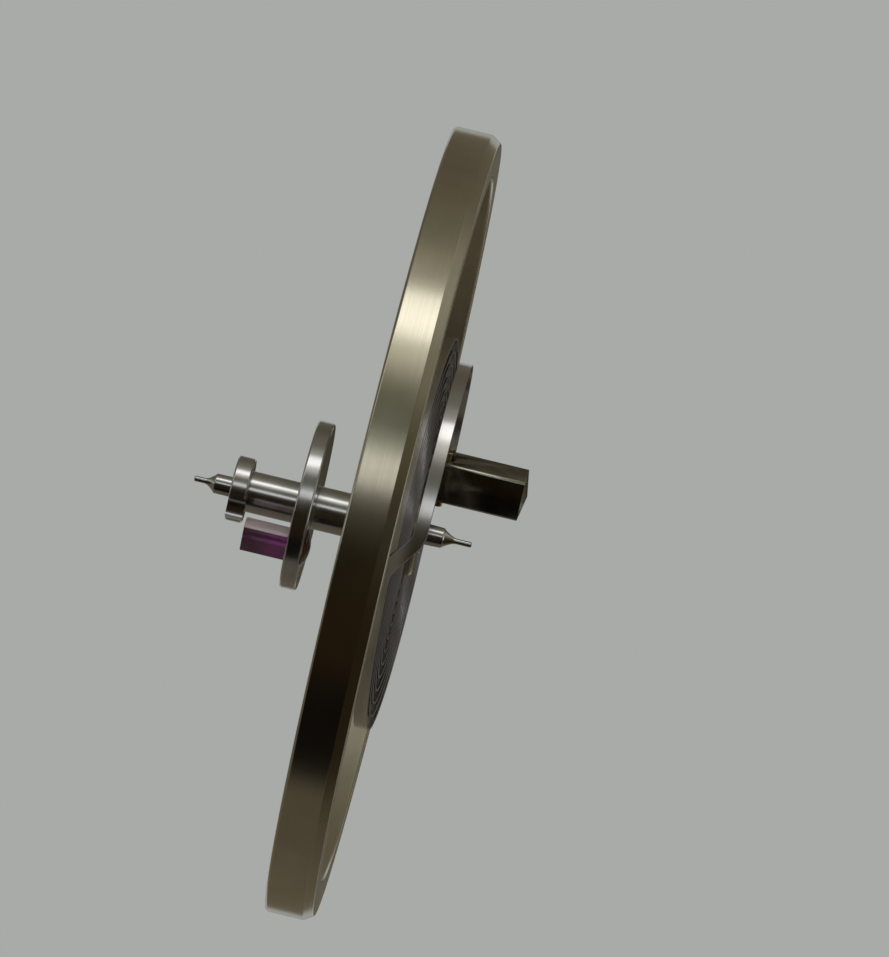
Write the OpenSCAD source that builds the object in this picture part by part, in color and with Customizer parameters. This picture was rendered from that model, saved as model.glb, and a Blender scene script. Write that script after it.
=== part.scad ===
// Balance complete of a mechanical watch: screwless balance wheel on its staff, double roller
// with impulse jewel, and a hairspring with an overcoil, pinned to its collet and its stud.
// The tip of the lower pivot is the origin and +Z runs up the staff to the hairspring side.

/* [Balance wheel] */
// Outside diameter of the rim
rim_d = 10; // [8:0.1:14]
// Radial width of the rim
rim_w = 0.52; // [0.4:0.01:1.2]
// Height of the rim along the staff
rim_h = 0.6; // [0.45:0.01:0.8]
// How far the middle of the rim stands above the middle of the arms
rim_lift = 0.06; // [0:0.01:0.15]
// Height of the bevel round the rim's upper outer edge
bevel_h = 0.12; // [0.05:0.01:0.2]
// Radial width of that bevel
bevel_w = 0.08; // [0.03:0.01:0.2]
// Edge break on the rim's other edges
rim_edge = 0.03; // [0.01:0.005:0.06]
// Number of arms
arms = 3; // [2:1:4]
// Width of an arm at its middle
arm_w = 0.5; // [0.3:0.05:0.9]
// Thickness of the arms along the staff
arm_t = 0.2; // [0.12:0.01:0.3]
// Radius of the fillets where an arm meets the hub and the rim
arm_fillet = 0.5; // [0.1:0.05:0.8]
// Diameter of the hub that the arms grow from
hub_d = 2; // [1.7:0.05:2.4]

/* [Balance staff] */
// Diameter of both pivots
pivot_d = 0.07; // [0.05:0.005:0.12]
// Straight length of the lower pivot
low_pivot_l = 0.13; // [0.08:0.01:0.25]
// Straight length of the upper pivot
up_pivot_l = 0.18; // [0.08:0.01:0.3]
// Length of the trumpet that widens the lower pivot to its arbor
low_trumpet_l = 0.14; // [0.08:0.01:0.25]
// Length of the trumpet that widens the upper pivot to its arbor
up_trumpet_l = 0.19; // [0.08:0.01:0.25]
// Diameter of the lower arbor at its free end
arbor_d = 0.25; // [0.2:0.01:0.32]
// How much wider the lower arbor is at the roller shoulder
arbor_taper = 0.016; // [0.005:0.001:0.03]
// Bare length of the lower arbor below the safety roller
arbor_l = 0.21; // [0.05:0.01:0.4]
// Diameter of the staff's body between the rollers and the flange
body_d = 0.55; // [0.45:0.01:0.7]
// Length of that body
body_l = 0.56; // [0.35:0.01:0.8]
// Diameter of the flange that carries the wheel
flange_d = 1.5; // [1.2:0.05:1.6]
// Thickness of the flange
flange_t = 0.16; // [0.1:0.01:0.3]
// Diameter of the seat that the wheel is pushed on
seat_d = 0.9; // [0.8:0.01:1]
// Diameter of the rivet spread over the hub
rivet_d = 1.08; // [1.04:0.01:1.3]
// Height of the rivet above the hub
rivet_h = 0.05; // [0.03:0.01:0.1]
// Diameter of the seat that the collet is pushed on
collet_seat_d = 0.5; // [0.4:0.01:0.54]
// How far the collet seat stands out above the collet
seat_over = 0.03; // [0.01:0.01:0.1]
// Diameter of the upper arbor at its foot
up_arbor_d = 0.27; // [0.2:0.01:0.34]
// Length of the upper arbor
up_arbor_l = 0.24; // [0.1:0.01:0.5]

/* [Rollers] */
// Diameter of the impulse roller's table
table_d = 2.13; // [1.9:0.01:2.6]
// Thickness of the table
table_t = 0.21; // [0.14:0.01:0.3]
// Diameter of the pipe below the table
pipe_d = 0.52; // [0.4:0.01:0.6]
// Length of the pipe between the two rollers
pipe_l = 0.64; // [0.4:0.01:0.9]
// Diameter of the safety roller
safety_d = 0.82; // [0.7:0.01:1.1]
// Thickness of the safety roller
safety_t = 0.22; // [0.14:0.01:0.3]
// Radius of the passing hollow in the safety roller
hollow_r = 0.2; // [0.12:0.01:0.3]
// Depth of the passing hollow, in from the safety roller's edge
hollow_depth = 0.15; // [0.05:0.01:0.17]
// Edge break on both rollers
roller_edge = 0.02; // [0.005:0.005:0.04]

/* [Impulse jewel] */
// Direction of the jewel about the staff, from +X
jewel_angle = -90; // [-180:1:180]
// Diameter of the jewel's round back
jewel_d = 0.42; // [0.3:0.01:0.5]
// How much of that diameter the jewel's flat face takes off
jewel_flat = 0.11; // [0.05:0.01:0.14]
// Wall between the jewel's flat face and the table's edge
jewel_wall = 0.16; // [0.1:0.01:0.25]
// Distance from the jewel's tip up to the plane of the safety roller's top, as a clearance
jewel_clear = 0.08; // [0.03:0.01:0.2]
// How far the jewel stands out on the table's wheel side
jewel_stand = 0.03; // [0.01:0.01:0.06]
// Edge break round the jewel's tip
jewel_edge = 0.03; // [0.01:0.005:0.05]
// Diameter of the bead of shellac
bead_d = 0.5; // [0.44:0.01:0.56]
// Height of the bead of shellac
bead_h = 0.08; // [0.07:0.01:0.14]

/* [Collet] */
// Outside diameter of the collet
collet_d = 1.1; // [1:0.01:1.3]
// Height of the collet
collet_h = 0.36; // [0.3:0.01:0.5]
// Gap between the rivet and the collet
collet_lift = 0.02; // [0.01:0.01:0.1]
// Width of the slot that lets the collet spring open
slot_w = 0.07; // [0.04:0.01:0.12]
// Edge break on the collet
collet_edge = 0.03; // [0.01:0.005:0.05]

/* [Hairspring] */
// Height of the strip along the staff
strip_h = 0.17; // [0.12:0.01:0.2]
// Thickness of the strip
strip_t = 0.03; // [0.02:0.005:0.045]
// Diameter of the outermost flat coil, to the middle of the strip
spring_d = 5.1; // [4.2:0.1:5.6]
// Number of flat turns
turns = 11.5; // [8:0.5:13]
// Gap from the collet to the middle of the innermost turn
first_gap = 0.12; // [0.08:0.01:0.2]
// How far the outermost coil leans out of its plane, as a spring does whose stud hangs free
spring_lean = 0.1; // [0:0.01:0.12]
// Direction about the staff in which the coils lean up, from +X
lean_angle = 25; // [0:5:360]
// Clear height between the flat coils and the overcoil
overcoil_gap = 0.08; // [0.07:0.01:0.15]
// Angle about the staff over which the strip climbs to the overcoil
knee_sweep = 14; // [10:1:24]
// Angle over which the raised strip still follows the outer coil
follow_sweep = 29; // [20:1:40]
// Angle about the staff from the foot of the knee to the stud
overcoil_sweep = 148; // [135:1:165]
// Free end of the strip past a pinned hole
strip_tail = 0.07; // [0.03:0.01:0.15]

/* [Stud] */
// Direction of the stud about the staff, where the strip enters it, from +X
stud_angle = 96; // [0:1:360]
// Distance from the staff's axis to where the strip enters the stud
stud_r = 1.385; // [1.25:0.005:1.6]
// Width of the square stud
stud_w = 0.53; // [0.4:0.01:0.6]
// Height of the stud above the pinned hole
stud_up = 1.08; // [0.5:0.01:1.2]
// Gap between the stud's foot and the flat coils
foot_gap = 0.025; // [0.01:0.005:0.03]
// Height of the bevel round the stud's foot
foot_bevel = 0.08; // [0.07:0.01:0.12]
// Rise of the stud's hipped top
hip_h = 0.06; // [0.02:0.01:0.15]
// Edge break along the stud
stud_edge = 0.03; // [0.01:0.005:0.06]

/* [Pins and fits] */
// Diameter of a taper pin at its thick end
pin_d = 0.13; // [0.1:0.005:0.14]
// How much thinner a pin is at its thin end
pin_taper = 0.016; // [0.004:0.001:0.03]
// Free length of a pin at each end of its hole
pin_over = 0.1; // [0.04:0.01:0.2]
// Clearance drawn at every pressed, pinned or cemented seat
seat_gap = 0.002; // [0.001:0.001:0.004]

/* [Hidden] */
$fn = 96;

rim_r = rim_d / 2;
rim_in_r = rim_r - rim_w;
pivot_r = pivot_d / 2;

// Stations up the staff, each standing on the one before it
arbor_z = low_pivot_l + low_trumpet_l;
safety_z = arbor_z + arbor_l;
pipe_z = safety_z + safety_t;
table_z = pipe_z + pipe_l;
shoulder_z = table_z + table_t;
flange_z = shoulder_z + body_l;
arm_z = flange_z + flange_t;
hub_top_z = arm_z + arm_t;
rivet_top_z = hub_top_z + rivet_h;
collet_z = rivet_top_z + collet_lift;
seat_top_z = collet_z + collet_h + seat_over;
up_arbor_top_z = seat_top_z + up_arbor_l;
up_pivot_z = up_arbor_top_z + up_trumpet_l;
staff_top_z = up_pivot_z + up_pivot_l;

rim_z = arm_z + (arm_t - rim_h) / 2 + rim_lift;
spring_z = collet_z + collet_h / 2;
overcoil_z = spring_z + strip_h + overcoil_gap;
stud_foot_z = spring_z + strip_h / 2 + foot_gap;
stud_top_z = overcoil_z + stud_up;

// The jewel stands with its flat face outwards, a wall in from the table's edge
jewel_r = jewel_d / 2;
jewel_flat_at = jewel_r - jewel_flat;
jewel_at = table_d / 2 - jewel_wall - jewel_flat_at;
jewel_z = pipe_z + jewel_clear;
jewel_l = shoulder_z + jewel_stand - jewel_z;

// A pinned hole holds the strip as a chord on one side and the pin against its flat on the other
pinned_width = pin_d + strip_t + 3 * seat_gap;
pinned_hole_r = (pow(pinned_width, 2) + pow(strip_h / 2, 2)) / (2 * pinned_width);
strip_off = pinned_width - pinned_hole_r - seat_gap - strip_t / 2;
pin_off = pinned_hole_r - seat_gap - pin_d / 2;

// The spiral runs clockwise outwards, from the collet to the foot of the knee
first_r = collet_d / 2 + first_gap;
outer_r = spring_d / 2;
pitch = (outer_r - first_r) / turns;
knee_angle = stud_angle + overcoil_sweep;
foot_angle = knee_angle + 360 * turns;
follow_angle = knee_angle - knee_sweep - follow_sweep;

// The collet's hole lies in the middle of its wall, and the strip leaves it along a chord
collet_hole_at = (collet_d + collet_seat_d) / 4;
chord_at = collet_hole_at + strip_off;
hole_end = sqrt(pow(collet_d / 2, 2) - pow(collet_hole_at, 2));
inner_tail = atan((hole_end + strip_tail) / chord_at);
ease = 0.1;
straight_turn = 80;

// The overcoil's inward arc touches the outer coil where it leaves it, and ends at the stud
follow_dir = [cos(follow_angle), sin(follow_angle)];
stud_in = stud_r * [cos(stud_angle), sin(stud_angle)];
inward = stud_in * follow_dir;
arc_r = (stud_in * stud_in - 2 * inward * outer_r + pow(outer_r, 2)) / (2 * (outer_r - inward));
arc_c = (outer_r - arc_r) * follow_dir;
arc_end = atan2(stud_in[1] - arc_c[1], stud_in[0] - arc_c[0]);
arc_sweep = (follow_angle - arc_end) % 360;
run_angle = arc_end - 90;
run_dir = [cos(run_angle), sin(run_angle)];
strip_side = [-run_dir[1], run_dir[0]];
stud_c = stud_in + run_dir * stud_w / 2;

// Angles between the strip's rings
coil_step = 10;
fine_step = 5;

function smooth(t) = t * t * (3 - 2 * t);
function lesser(a, b, k) = let (h = max(k - abs(a - b), 0) / k) min(a, b) - h * h * k / 4;
function lower_arbor_r(z) = (arbor_d + arbor_taper * (z - arbor_z) / (shoulder_z - arbor_z)) / 2;

// Radius of the flat coil, turn degrees past the foot of the collet's chord
function coil_r(turn) = first_r + pitch * turn / 360;
function leaving_r(turn) = turn < straight_turn
    ? lesser(chord_at / cos(turn), coil_r(turn), ease)
    : coil_r(turn);

// Height of the flat coils at radius r and angle a: the outer turns lean most
function coil_z(r, a) =
    let (out = max(r - first_r, 0) / (outer_r - first_r))
    spring_z + spring_lean * out * out * cos(a - lean_angle);

// Middle line of the strip, from its inner free end to its outer free end
flat_turns = [-inner_tail, 0, 20, 30, 36, each [40 : fine_step : straight_turn - 1],
    each [straight_turn : coil_step : 360 * turns - 1]];
flat_path = [for (turn = flat_turns)
    let (a = foot_angle - turn, r = leaving_r(turn)) [r * cos(a), r * sin(a), coil_z(r, a)]];
knee_path = [for (i = [0 : 8])
    let (a = knee_angle - knee_sweep * i / 8, low = coil_z(outer_r, a))
    [outer_r * cos(a), outer_r * sin(a), low + (overcoil_z - low) * smooth(i / 8)]];
follow_path = [for (a = [fine_step : fine_step : follow_sweep - 1])
    let (b = knee_angle - knee_sweep - a) [outer_r * cos(b), outer_r * sin(b), overcoil_z]];
arc_steps = ceil(arc_sweep / fine_step);
arc_path = [for (i = [0 : arc_steps])
    let (a = follow_angle - arc_sweep * i / arc_steps)
    [arc_c[0] + arc_r * cos(a), arc_c[1] + arc_r * sin(a), overcoil_z]];
end_path = [for (l = [stud_w / 2, stud_w + strip_tail])
    [stud_in[0] + run_dir[0] * l, stud_in[1] + run_dir[1] * l, overcoil_z]];
strip_path = concat(flat_path, knee_path, follow_path, arc_path, end_path);

// Four corners of the strip's section at one point, square to the way that it runs
function unit(v) = v / norm(v);
function strip_ring(path, i) =
    let (
        run = unit(path[min(i + 1, len(path) - 1)] - path[max(i - 1, 0)]),
        out = unit([-run[1], run[0], 0]),
        up = cross(run, out)
    )
    [for (s = [[1, 1], [-1, 1], [-1, -1], [1, -1]])
        path[i] + out * s[0] * strip_t / 2 + up * s[1] * strip_h / 2];

// Least clear gap between two turns of the strip, measured on its points
coil_points = [for (p = strip_path) if (norm([p[0], p[1]]) > first_r) p];
turn_points = round(360 / coil_step);
turn_gap = min([for (i = [0 : len(coil_points) - turn_points - 3], j = [-2 : 2])
    norm(coil_points[i] - coil_points[i + turn_points + j])]) - strip_t;
echo("least gap between turns", turn_gap);

module rim_profile() {
    low = rim_z;
    high = rim_z + rim_h;
    polygon([
        [rim_in_r, low + rim_edge], [rim_in_r + rim_edge, low], [rim_r - rim_edge, low],
        [rim_r, low + rim_edge], [rim_r, high - bevel_h], [rim_r - bevel_w, high],
        [rim_in_r + rim_edge, high], [rim_in_r, high - rim_edge]
    ]);
}

// Half of an arm's width at one radius: fillets widen it towards the hub and the rim
function arm_half(r) =
    let (near_hub = r - hub_d / 2, near_rim = rim_in_r - r, f = arm_fillet,
        d = max(f - max(min(near_hub, near_rim), 0), 0))
    arm_w / 2 + f - sqrt(f * f - d * d);

module arm_plan() {
    fillet_steps = [0 : 1 / 8 : 1];
    in_r = hub_d / 2;
    stations = concat(
        [in_r - arm_fillet / 2],
        [for (t = fillet_steps) in_r + arm_fillet * (1 - cos(90 * t))],
        [for (t = fillet_steps) rim_in_r - arm_fillet * (1 - sin(90 * t))],
        [rim_in_r + rim_w / 2]
    );
    polygon(concat(
        [for (r = stations) [r, arm_half(r)]],
        [for (i = [len(stations) - 1 : -1 : 0]) [stations[i], -arm_half(stations[i])]]
    ));
}

module balance_wheel() {
    color([0.78, 0.75, 0.66])
        difference() {
            union() {
                rotate_extrude() rim_profile();
                translate([0, 0, arm_z]) {
                    cylinder(d = hub_d, h = arm_t);
                    for (i = [0 : arms - 1])
                        rotate(jewel_angle + 360 * i / arms)
                            linear_extrude(arm_t) arm_plan();
                }
            }
            translate([0, 0, arm_z - 1])
                cylinder(r = seat_d / 2 + seat_gap, h = arm_t + 2);
        }
}

// Trumpet of length l from a pivot to the end of its arbor, as points of radius and height
function trumpet(end_r, l) = [for (t = [0 : 1 / 6 : 1])
    [pivot_r + (end_r - 0.02 - pivot_r) * (1 - cos(90 * t)), t * (l - 0.02)]];

module balance_staff() {
    up_r = up_arbor_d / 2;
    up_end_r = up_r - arbor_taper / 2;
    tip = pivot_r / 3;
    color([0.62, 0.63, 0.65])
        rotate_extrude()
            polygon(concat(
                [[0, 0], [pivot_r - tip, 0], [pivot_r, tip]],
                [for (p = trumpet(arbor_d / 2, low_trumpet_l)) [p[0], low_pivot_l + p[1]]],
                [
                    [arbor_d / 2, arbor_z],
                    [lower_arbor_r(shoulder_z), shoulder_z], [body_d / 2, shoulder_z],
                    [body_d / 2, flange_z], [flange_d / 2, flange_z], [flange_d / 2, arm_z],
                    [seat_d / 2, arm_z], [seat_d / 2, hub_top_z], [rivet_d / 2, hub_top_z],
                    [seat_d / 2, rivet_top_z], [collet_seat_d / 2, rivet_top_z],
                    [collet_seat_d / 2, seat_top_z], [up_r, seat_top_z],
                    [up_end_r, up_arbor_top_z]
                ],
                [for (i = [6 : -1 : 0])
                    let (p = trumpet(up_end_r, up_trumpet_l)[i]) [p[0], up_pivot_z - p[1]]],
                [[pivot_r, staff_top_z - tip], [pivot_r - tip, staff_top_z], [0, staff_top_z]]
            ));
}

// Ring from one height to another with broken edges, bored to the staff's tapered arbor
module roller_ring(r, low, high) {
    e = roller_edge;
    rotate_extrude()
        polygon([
            [lower_arbor_r(low) + seat_gap, low], [r - e, low], [r, low + e],
            [r, high - e], [r - e, high], [lower_arbor_r(high) + seat_gap, high]
        ]);
}

// Section of the jewel with its flat face towards +X, grown by a gap all round
module jewel_section(gap) {
    difference() {
        circle(r = jewel_r + gap);
        translate([jewel_flat_at + gap, -jewel_d]) square([jewel_d, 2 * jewel_d]);
    }
}

module at_jewel() {
    rotate(jewel_angle) translate([jewel_at, 0, 0]) children();
}

module impulse_roller() {
    color([0.55, 0.55, 0.56])
        difference() {
            union() {
                roller_ring(table_d / 2, table_z, shoulder_z);
                rotate_extrude()
                    polygon([
                        [lower_arbor_r(pipe_z) + seat_gap, pipe_z], [pipe_d / 2, pipe_z],
                        [pipe_d / 2, table_z + table_t / 2],
                        [lower_arbor_r(table_z + table_t / 2) + seat_gap, table_z + table_t / 2]
                    ]);
            }
            at_jewel()
                translate([0, 0, table_z - 1]) linear_extrude(table_t + 2) jewel_section(seat_gap);
        }
}

module safety_roller() {
    color([0.6, 0.6, 0.61])
        difference() {
            roller_ring(safety_d / 2, safety_z, pipe_z);
            rotate(jewel_angle)
                translate([safety_d / 2 - hollow_depth + hollow_r, 0, safety_z - 1])
                    cylinder(r = hollow_r, h = safety_t + 2);
        }
}

module impulse_jewel() {
    color([0.62, 0.2, 0.5])
        at_jewel()
            intersection() {
                translate([0, 0, jewel_z]) linear_extrude(jewel_l) jewel_section(0);
                rotate_extrude()
                    polygon([
                        [0, jewel_z], [jewel_r - jewel_edge, jewel_z],
                        [jewel_r + 0.01, jewel_z + jewel_edge + 0.01],
                        [jewel_r + 0.01, jewel_z + jewel_l + 1], [0, jewel_z + jewel_l + 1]
                    ]);
            }
}

module jewel_shellac() {
    ball_r = (pow(bead_d / 2, 2) + pow(bead_h, 2)) / (2 * bead_h);
    ball_z = shoulder_z + bead_h - ball_r;
    spread = asin(bead_d / 2 / ball_r);
    color([0.45, 0.28, 0.12])
        at_jewel()
            difference() {
                rotate_extrude()
                    polygon(concat(
                        [[0, shoulder_z], [bead_d / 2, shoulder_z]],
                        [for (i = [4 : -1 : 0])
                            let (a = spread * i / 5) [ball_r * sin(a), ball_z + ball_r * cos(a)]]
                    ));
                translate([0, 0, shoulder_z - 1])
                    linear_extrude(1 + jewel_stand + seat_gap) jewel_section(seat_gap);
            }
}

// Places children in the collet's cross hole: the hole's axis is X and its strip side is +Y
module at_collet_hole() {
    rotate(foot_angle - 90) translate([0, collet_hole_at, spring_z]) children();
}

// Places children in the stud's cross hole, in the same way
module at_stud_hole() {
    translate([stud_c[0], stud_c[1], overcoil_z]) rotate(run_angle)
        translate([0, -strip_off, 0]) children();
}

module cross_hole(l) {
    translate([-l / 2, 0, 0]) rotate([0, 90, 0]) cylinder(r = pinned_hole_r, h = l);
}

module taper_pin(l) {
    translate([-l / 2, -pin_off, 0])
        rotate([0, 90, 0]) cylinder(r1 = (pin_d - pin_taper) / 2, r2 = pin_d / 2, h = l);
}

module collet() {
    top = collet_z + collet_h;
    e = collet_edge;
    in_r = collet_seat_d / 2 + seat_gap;
    color([0.5, 0.47, 0.38])
        difference() {
            rotate_extrude()
                polygon([
                    [in_r, collet_z], [collet_d / 2 - e, collet_z], [collet_d / 2, collet_z + e],
                    [collet_d / 2, top - e], [collet_d / 2 - e, top], [in_r, top]
                ]);
            at_collet_hole() cross_hole(2 * collet_d);
            rotate(foot_angle + 180)
                translate([0, -slot_w / 2, collet_z - 1]) cube([collet_d, slot_w, collet_h + 2]);
        }
}

module collet_pin() {
    color([0.78, 0.64, 0.36]) at_collet_hole() taper_pin(2 * (hole_end + pin_over));
}

module hairspring() {
    rings = len(strip_path);
    last = 4 * (rings - 1);
    color([0.72, 0.73, 0.76])
        polyhedron(
            points = [for (i = [0 : rings - 1]) each strip_ring(strip_path, i)],
            faces = concat(
                [[0, 1, 2], [0, 2, 3]],
                [for (i = [0 : rings - 2], k = [0 : 3], half = [0, 1])
                    let (a = 4 * i + k, b = 4 * i + (k + 1) % 4)
                    half == 0 ? [a, b + 4, b] : [a, a + 4, b + 4]],
                [[last, last + 2, last + 1], [last, last + 3, last + 2]]
            )
        );
}

// Outline of the stud from one side, with its bevelled foot and hipped top
module stud_side() {
    w = stud_w / 2;
    b = foot_bevel;
    polygon([
        [-w + b, stud_foot_z], [w - b, stud_foot_z], [w, stud_foot_z + b],
        [w, stud_top_z - hip_h], [0, stud_top_z], [-w, stud_top_z - hip_h],
        [-w, stud_foot_z + b]
    ]);
}

module stud_section() {
    w = stud_w / 2;
    e = w - stud_edge;
    polygon([[w, -e], [w, e], [e, w], [-e, w], [-w, e], [-w, -e], [-e, -w], [e, -w]]);
}

module stud() {
    color([0.3, 0.31, 0.3])
        difference() {
            translate([stud_c[0], stud_c[1], 0]) rotate(run_angle)
                intersection() {
                    translate([0, 0, stud_foot_z]) linear_extrude(stud_top_z - stud_foot_z)
                        stud_section();
                    translate([0, stud_w, 0]) rotate([90, 0, 0]) linear_extrude(2 * stud_w)
                        stud_side();
                    translate([-stud_w, 0, 0]) rotate([90, 0, 90]) linear_extrude(2 * stud_w)
                        stud_side();
                }
            at_stud_hole() cross_hole(2 * stud_w);
        }
}

module stud_pin() {
    color([0.78, 0.64, 0.36]) at_stud_hole() taper_pin(stud_w + 2 * pin_over);
}

balance_wheel();
balance_staff();
impulse_roller();
safety_roller();
impulse_jewel();
jewel_shellac();
collet();
collet_pin();
hairspring();
stud();
stud_pin();
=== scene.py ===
import math

import bmesh
import bpy
from mathutils import Matrix, Vector


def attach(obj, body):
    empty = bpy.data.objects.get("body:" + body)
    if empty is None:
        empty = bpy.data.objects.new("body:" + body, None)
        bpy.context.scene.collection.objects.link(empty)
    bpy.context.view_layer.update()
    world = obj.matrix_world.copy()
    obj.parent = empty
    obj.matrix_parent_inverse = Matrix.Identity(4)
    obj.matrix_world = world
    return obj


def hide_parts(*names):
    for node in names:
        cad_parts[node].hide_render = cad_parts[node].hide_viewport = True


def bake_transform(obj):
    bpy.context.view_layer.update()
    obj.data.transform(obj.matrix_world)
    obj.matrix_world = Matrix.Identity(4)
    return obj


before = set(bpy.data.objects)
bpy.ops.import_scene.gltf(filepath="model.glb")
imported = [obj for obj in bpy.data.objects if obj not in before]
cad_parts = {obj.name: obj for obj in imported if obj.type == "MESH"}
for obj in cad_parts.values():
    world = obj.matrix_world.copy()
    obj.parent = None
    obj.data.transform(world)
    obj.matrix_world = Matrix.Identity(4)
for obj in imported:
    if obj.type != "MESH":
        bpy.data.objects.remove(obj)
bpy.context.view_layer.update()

# Balance complete of a watch. Every piece is drawn in millimetres and brought to metres when it is
# finished. The lower pivot's tip is the origin and the staff runs up +Z to the hairspring side.
mm = 0.001
toMetres = Matrix.Scale(mm, 4)
jewelAngle = math.radians(-90)      # direction of the impulse jewel and of the first arm
seatGap = 0.002                     # clearance at each pressed, pinned or cemented seat
pastPiece = 1.0                     # how far a cutter reaches past what it cuts
degree = math.pi / 180


# Node graphs

class Socket:
    # One output of a node, so that maths on it can be written as maths
    def __init__(self, graph, made, output=0):
        self.graph, self.made, self.output = graph, made, output

    def link(self):
        return self.made.outputs[self.output]

    def out(self, output):
        return Socket(self.graph, self.made, output)

    def maths(self, kind, *others):
        return self.graph.maths(kind, self, *others)

    def __add__(self, other):
        return self.maths("ADD", other)

    def __sub__(self, other):
        return self.maths("SUBTRACT", other)

    def __mul__(self, other):
        return self.maths("MULTIPLY", other)

    def __truediv__(self, other):
        return self.maths("DIVIDE", other)

    def __gt__(self, other):
        return self.maths("GREATER_THAN", other)

    def __rsub__(self, other):
        return self.graph.maths("SUBTRACT", other, self)

    def __rtruediv__(self, other):
        return self.graph.maths("DIVIDE", other, self)

    __radd__ = __add__
    __rmul__ = __mul__


class Graph:
    # Adds nodes to a material, a world or a Geometry Nodes tree
    def __init__(self, tree):
        self.tree = tree
        tree.nodes.clear()

    def add(self, kind, settings=None, values=None, output=0):
        made = self.tree.nodes.new(kind)
        for key, value in (settings or {}).items():
            if key == "stops":
                self.setStops(made.color_ramp, value)
            else:
                setattr(made, key, value)
        for key, value in (values or {}).items():
            self.feed(made.inputs[key], value)
        return Socket(self, made, output)

    def feed(self, socket, value):
        if isinstance(value, Socket):
            self.tree.links.new(value.link(), socket)
        else:
            socket.default_value = value

    def setStops(self, ramp, stops):
        anywhere = 0.5
        while len(ramp.elements) < len(stops):
            ramp.elements.new(anywhere)
        for element, (place, colour) in zip(ramp.elements, stops):
            element.position = place
            element.color = (*colour, 1)
        ramp.interpolation = "EASE"

    def maths(self, kind, *values):
        return self.add("ShaderNodeMath", {"operation": kind}, dict(enumerate(values)))

    def vector(self, x, y, z):
        return self.add("ShaderNodeCombineXYZ", values={0: x, 1: y, 2: z})

    def split(self, vector):
        parts = self.add("ShaderNodeSeparateXYZ", values={0: vector})
        return parts, parts.out(1), parts.out(2)

    def ease(self, value, low, high):
        # 0 up to the low value, 1 from the high one, and smooth between them
        return self.add("ShaderNodeMapRange", {"interpolation_type": "SMOOTHSTEP"},
                        {0: value, 1: low, 2: high})

    def mixColour(self, share, first, second):
        # The node's inputs 6 and 7 and its output 2 are those for colours
        return self.add("ShaderNodeMix", {"data_type": "RGBA"},
                        {0: share, 6: first, 7: second}, 2)

    def noise(self, vector, scale, detail, roughness):
        return self.add("ShaderNodeTexNoise", values={
            "Vector": vector, "Scale": scale, "Detail": detail, "Roughness": roughness})


# Meshes

def linked(mesh, name):
    piece = bpy.data.objects.new(name, mesh)
    bpy.context.scene.collection.objects.link(piece)
    return piece


def facedOut(bm):
    # Turns the faces of a closed shape outwards
    if bm.calc_volume(signed=True) < 0:
        bmesh.ops.reverse_faces(bm, faces=bm.faces)
    return bm


def finished(bm, name):
    mesh = bpy.data.meshes.new(name)
    facedOut(bm).to_mesh(mesh)
    bm.free()
    return linked(mesh, name)


def eased(outline, size, closed=True):
    # Rounds the corners of an outline of (radius, height) points, with a point each side of the
    # rounding that keeps the flats beside it flat
    nearlyStraight = math.radians(155)
    mostOfSide, flatFrom, steps = 0.35, 1.4, 3
    count = len(outline)
    points = []
    for i, corner in enumerate(outline):
        at = Vector(corner)
        if not closed and i in (0, count - 1):
            points.append(at)
            continue
        before = Vector(outline[i - 1]) - at
        after = Vector(outline[(i + 1) % count]) - at
        if before.angle(after) > nearlyStraight:
            points.append(at)
            continue
        cut = min(size, mostOfSide * before.length, mostOfSide * after.length)
        start, end = at + before.normalized() * cut, at + after.normalized() * cut
        points.append(at + before.normalized() * cut * flatFrom)
        for k in range(steps + 1):
            t = k / steps
            points.append(start * (1 - t) ** 2 + at * 2 * t * (1 - t) + end * t ** 2)
        points.append(at + after.normalized() * cut * flatFrom)
    return [(max(p[0], 0), p[1]) for p in points]


def turned(name, outline, steps):
    # Turns an outline of (radius, height) points round +Z; it closes on the axis or on itself
    bm = bmesh.new()
    rings = []
    for radius, height in outline:
        count = 1 if radius == 0 else steps
        rings.append([
            bm.verts.new((radius * math.cos(math.tau * k / steps),
                          radius * math.sin(math.tau * k / steps), height))
            for k in range(count)])
    pairs = list(zip(rings, rings[1:]))
    if outline[0][0] > 0:
        pairs.append((rings[-1], rings[0]))
    for low, high in pairs:
        for k in range(steps):
            j = (k + 1) % steps
            corners = [low[k % len(low)], low[j % len(low)],
                       high[j % len(high)], high[k % len(high)]]
            bm.faces.new(list(dict.fromkeys(corners)))
    return finished(bm, name)


def drill(radius, low, high, steps):
    # Round cutter along +Z
    return turned("drill", [(0, low), (radius, low), (radius, high), (0, high)], steps)


def prism(name, outline, low, high):
    # Straight block on an outline of (x, y) points
    bm = bmesh.new()
    base = [bm.verts.new((x, y, low)) for x, y in outline]
    top = [bm.verts.new((x, y, high)) for x, y in outline]
    count = len(outline)
    bm.faces.new(base[::-1])
    bm.faces.new(top)
    for k in range(count):
        j = (k + 1) % count
        bm.faces.new([base[k], base[j], top[j], top[k]])
    return finished(bm, name)


def plain(piece):
    # Turns a piece with its modifiers into a plain mesh
    graph = bpy.context.evaluated_depsgraph_get()
    mesh = bpy.data.meshes.new_from_object(piece.evaluated_get(graph))
    piece.modifiers.clear()
    old, piece.data = piece.data, mesh
    bpy.data.meshes.remove(old)
    return piece


def placed(piece, matrix):
    piece.data.transform(matrix)
    return piece


def cut(piece, *cutters):
    for cutter in cutters:
        made = piece.modifiers.new("cut", "BOOLEAN")
        made.operation, made.solver, made.object = "DIFFERENCE", "EXACT", cutter
    plain(piece)
    for cutter in cutters:
        bpy.data.objects.remove(cutter)


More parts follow.
